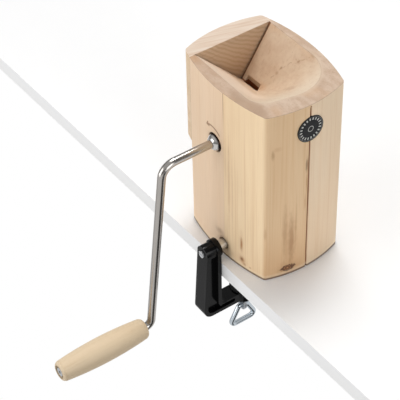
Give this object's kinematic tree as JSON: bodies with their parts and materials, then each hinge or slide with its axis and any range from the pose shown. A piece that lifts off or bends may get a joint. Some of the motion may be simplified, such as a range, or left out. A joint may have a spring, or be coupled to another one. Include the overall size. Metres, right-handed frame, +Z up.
{
  "type": "hand grain flaker",
  "caption": "Wooden hand grain flaker: a hopper block with a fluted roller mill inside, a bent steel crank with a wooden grip, and a table clamp with a screw and wire bail.",
  "frame": {"origin": "middle of the block's base, at the height of the table top", "axes": "+Z up, -Y towards the crank and the clamp, -X towards the cover board and the flake outlet"},
  "size_m": [0.1363, 0.2848, 0.3031],
  "materials": {
    "block_front": "oiled beech, upright grain",
    "block_back": "oiled beech, upright grain",
    "cover_board": "oiled beech, level grain",
    "dowel_wood": "plain beech dowel",
    "grip_wood": "turned and oiled beech",
    "screw_steel": "zinc plated",
    "plate_steel": "cut steel plate",
    "turned_steel": "turned steel",
    "bronze": "sintered bronze",
    "roller_steel": "hardened steel",
    "gear_brass": "cut brass",
    "key_steel": "bright steel",
    "hub_steel": "polished",
    "rod_steel": "satin stainless steel",
    "clamp_rod_steel": "bright drawn steel",
    "black_casting": "black paint over a casting",
    "zinc": "zinc plated",
    "spindle_steel": "zinc plated spindle",
    "pad_steel": "black paint",
    "zinc_wire": "zinc plated wire",
    "badge_face": "black plate with a thin pale ring"
  },
  "bodies": {
    "housing": {"block_front": "block_front", "block_back": "block_back", "cover_board": "cover_board", "cover_screws": "screw_steel", "block_dowels": "dowel_wood", "badge": "badge_face", "front_plate": "plate_steel", "rear_plate": "plate_steel", "plate_spacers": "turned_steel", "spacer_screws": "screw_steel", "cassette_screws": "screw_steel", "bearing_bushes": "bronze"},
    "crank": {"drive_roller": "roller_steel", "drive_gear": "gear_brass", "drive_key": "key_steel", "crank_hub": "hub_steel", "hub_pins": "key_steel", "crank_rod": "rod_steel", "grip_washer": "screw_steel", "grip_screw": "screw_steel"},
    "idler": {"idler_roller": "roller_steel", "idler_gear": "gear_brass", "idler_key": "key_steel"},
    "handle": {"grip": "grip_wood"},
    "rod": {"clamp_rod": "clamp_rod_steel", "bracket_screw": "zinc"},
    "bracket": {"clamp_bracket": "black_casting"},
    "pad": {"clamp_pad": "pad_steel"},
    "spindle": {"clamp_screw": "spindle_steel"},
    "bail": {"wire_bail": "zinc_wire"}
  },
  "joints": [
    {"name": "crank_turn", "type": "hinge", "parent": "housing", "child": "crank", "pos_m": [-0.003, -0.04, 0.131], "axis": [0, 1, 0], "continuous": true},
    {"name": "idler_turn", "type": "hinge", "parent": "housing", "child": "idler", "pos_m": [-0.02757, -0.01, 0.11379], "axis": [0, 1, 0], "continuous": true},
    {"name": "grip_spin", "type": "hinge", "parent": "crank", "child": "handle", "pos_m": [-0.003, -0.185, -0.0587], "axis": [0, 1, 0], "continuous": true},
    {"name": "clamp_slide", "type": "slide", "parent": "housing", "child": "rod", "axis": [0, 1, 0], "range_m": [-0.025, 0.005]},
    {"name": "bracket_swing", "type": "hinge", "parent": "rod", "child": "bracket", "pos_m": [0.009, -0.068, 0.014], "axis": [0, 1, 0], "range_deg": [-15, 15]},
    {"name": "pad_lift", "type": "slide", "parent": "bracket", "child": "pad", "axis": [0, 0, 1], "range_m": [-0.032, 0.0065]},
    {"name": "screw_turn", "type": "hinge", "parent": "pad", "child": "spindle", "pos_m": [0.009, -0.03, -0.03], "axis": [0, 0, 1], "range_deg": [-9221, 1877]},
    {"name": "bail_swing", "type": "hinge", "parent": "spindle", "child": "bail", "pos_m": [0.009, -0.03, -0.0825], "axis": [0, 1, 0], "range_deg": [-90, 90]}
  ],
  "couplings": [
    {"joint": "idler_turn", "follows": "crank_turn", "ratio": -1},
    {"joint": "screw_turn", "follows": "pad_lift", "rad_per_m": 5026.5}
  ]
}
